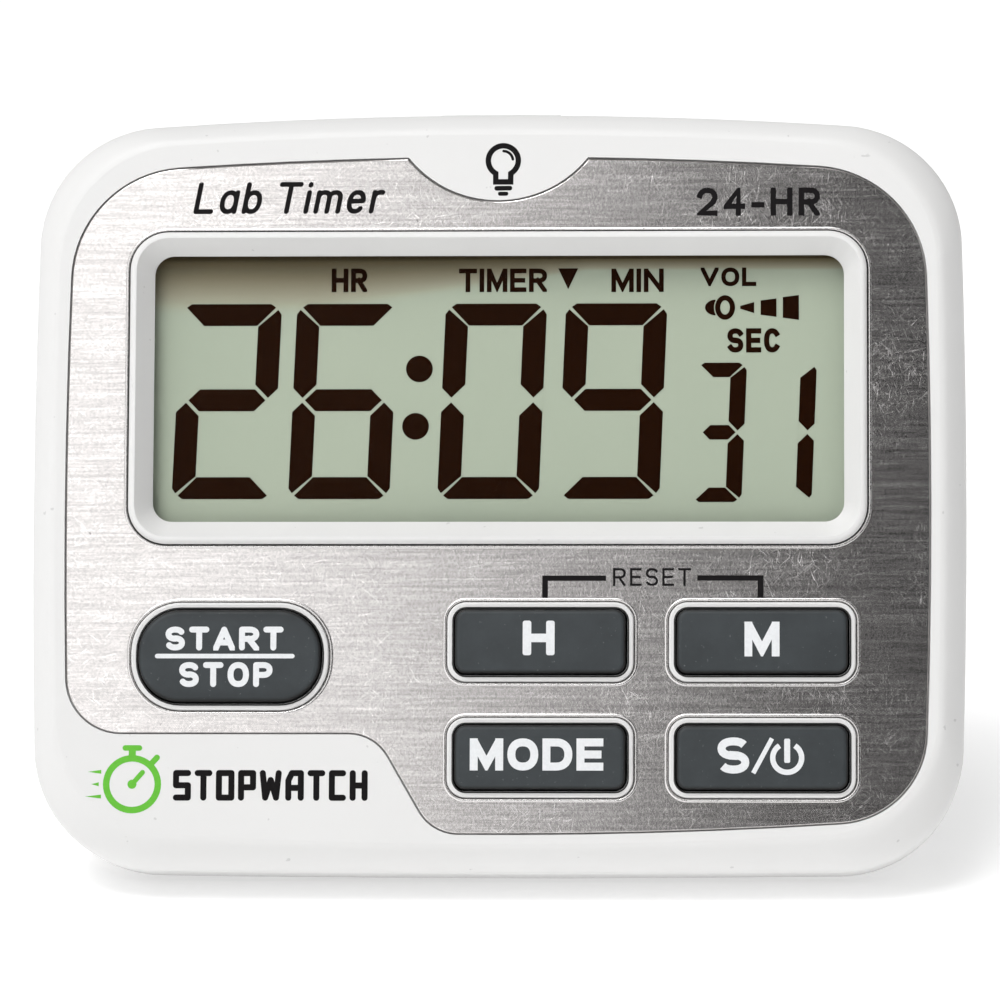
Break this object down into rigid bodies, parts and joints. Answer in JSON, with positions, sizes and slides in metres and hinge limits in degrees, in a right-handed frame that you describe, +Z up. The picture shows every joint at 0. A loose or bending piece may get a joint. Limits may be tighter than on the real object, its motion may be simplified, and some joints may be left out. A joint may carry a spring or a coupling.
{
  "type": "digital timer",
  "caption": "Freestanding digital lab timer with a large display, rubber keys, a fold-out kickstand and a battery door.",
  "frame": {"origin": "on the table, at the middle of the footprint, standing on the open kickstand", "axes": "+Z up, the display faces -Y and tilts up by 20 degrees, +X along the width"},
  "size_m": [0.0952, 0.0472, 0.0762],
  "materials": {
    "case_white": "fine satin moulded plastic",
    "faceplate": "horizontal brushed grain",
    "adhesive": "thin adhesive film",
    "gasket": "thin black foam",
    "window": "clear and smooth",
    "lcd_glass": "clear and smooth",
    "polarizer": "grey green film",
    "light_guide": "milky clear",
    "reflector": "foil",
    "led": "moulded lens",
    "holder": "moulded",
    "zebra": "striped elastomer",
    "board": "solder mask",
    "screw_steel": "zinc plated",
    "blob": "epoxy",
    "crystal_can": "drawn can",
    "chips": "moulded",
    "mat_rubber": "silicone",
    "key_rubber": "fine matt silicone",
    "carbon": "carbon filled",
    "switch_black": "moulded",
    "knob": "moulded",
    "magnet": "nickel plated",
    "brass": "rolled",
    "ceramic": "fired",
    "switch_can": "pressed",
    "cell_sleeve": "printed sleeve",
    "contact": "nickel plated spring steel",
    "lead_red": "insulation",
    "lead_black": "insulation"
  },
  "bodies": {
    "case": {"front_case": "case_white", "faceplate": "faceplate", "faceplate_adhesive": "adhesive", "window_gasket": "gasket", "display_window": "window", "lcd_front_polarizer": "polarizer", "lcd_front_glass": "lcd_glass", "lcd_rear_glass": "lcd_glass", "lcd_rear_polarizer": "polarizer", "backlight_guide": "light_guide", "backlight_reflector": "reflector", "backlight_leds": "led", "lcd_holder": "holder", "zebra_strip": "zebra", "main_board": "board", "board_screws": "screw_steel", "controller_blob": "blob", "watch_crystal": "crystal_can", "chip_parts": "chips", "keypad_mat": "mat_rubber", "light_switch_body": "switch_black", "back_case": "case_white", "case_screws": "screw_steel", "magnet_left": "magnet", "magnet_right": "magnet", "sounder_disc": "brass", "sounder_ceramic": "ceramic", "volume_switch_body": "switch_can", "cell_1": "cell_sleeve", "cell_2": "cell_sleeve", "contact_positive": "contact", "contact_bridge": "contact", "contact_negative": "contact", "battery_lead_positive": "lead_red", "battery_lead_negative": "lead_black", "sounder_leads": "lead_red"},
    "light": {"light_button": "case_white", "light_switch_plunger": "switch_black"},
    "volume": {"volume_knob": "knob", "volume_switch_lever": "switch_black"},
    "stand": {"kickstand": "case_white"},
    "door": {"battery_door": "case_white"},
    "key_start_stop": {"key_start_stop": "key_rubber", "pill_start_stop": "carbon"},
    "key_hour": {"key_hour": "key_rubber", "pill_hour": "carbon"},
    "key_minute": {"key_minute": "key_rubber", "pill_minute": "carbon"},
    "key_mode": {"key_mode": "key_rubber", "pill_mode": "carbon"},
    "key_second_power": {"key_second_power": "key_rubber", "pill_second_power": "carbon"}
  },
  "joints": [
    {"name": "key_start_stop_press", "type": "slide", "parent": "case", "child": "key_start_stop", "axis": [0, 0.9397, -0.342], "range_m": [0, 0.001], "stiffness_N_per_m": 900, "springref_m": -0.0004},
    {"name": "key_hour_press", "type": "slide", "parent": "case", "child": "key_hour", "axis": [0, 0.9397, -0.342], "range_m": [0, 0.001], "stiffness_N_per_m": 900, "springref_m": -0.0004},
    {"name": "key_minute_press", "type": "slide", "parent": "case", "child": "key_minute", "axis": [0, 0.9397, -0.342], "range_m": [0, 0.001], "stiffness_N_per_m": 900, "springref_m": -0.0004},
    {"name": "key_mode_press", "type": "slide", "parent": "case", "child": "key_mode", "axis": [0, 0.9397, -0.342], "range_m": [0, 0.001], "stiffness_N_per_m": 900, "springref_m": -0.0004},
    {"name": "key_second_power_press", "type": "slide", "parent": "case", "child": "key_second_power", "axis": [0, 0.9397, -0.342], "range_m": [0, 0.001], "stiffness_N_per_m": 900, "springref_m": -0.0004},
    {"name": "light_press", "type": "slide", "parent": "case", "child": "light", "axis": [0, -0.342, -0.9397], "range_m": [0, 0.0006], "stiffness_N_per_m": 900, "springref_m": -0.0004},
    {"name": "volume_slide", "type": "slide", "parent": "case", "child": "volume", "axis": [0, 0.342, 0.9397], "range_m": [-0.002, 0.002]},
    {"name": "kickstand_hinge", "type": "hinge", "parent": "case", "child": "stand", "pos_m": [0, 0.01174, 0.03685], "axis": [1, 0, 0], "range_deg": [-33.66, 0]},
    {"name": "battery_door_hinge", "type": "hinge", "parent": "case", "child": "door", "pos_m": [0, 0.01397, 0.04226], "axis": [-1, 0, 0], "range_deg": [0, 60]}
  ]
}
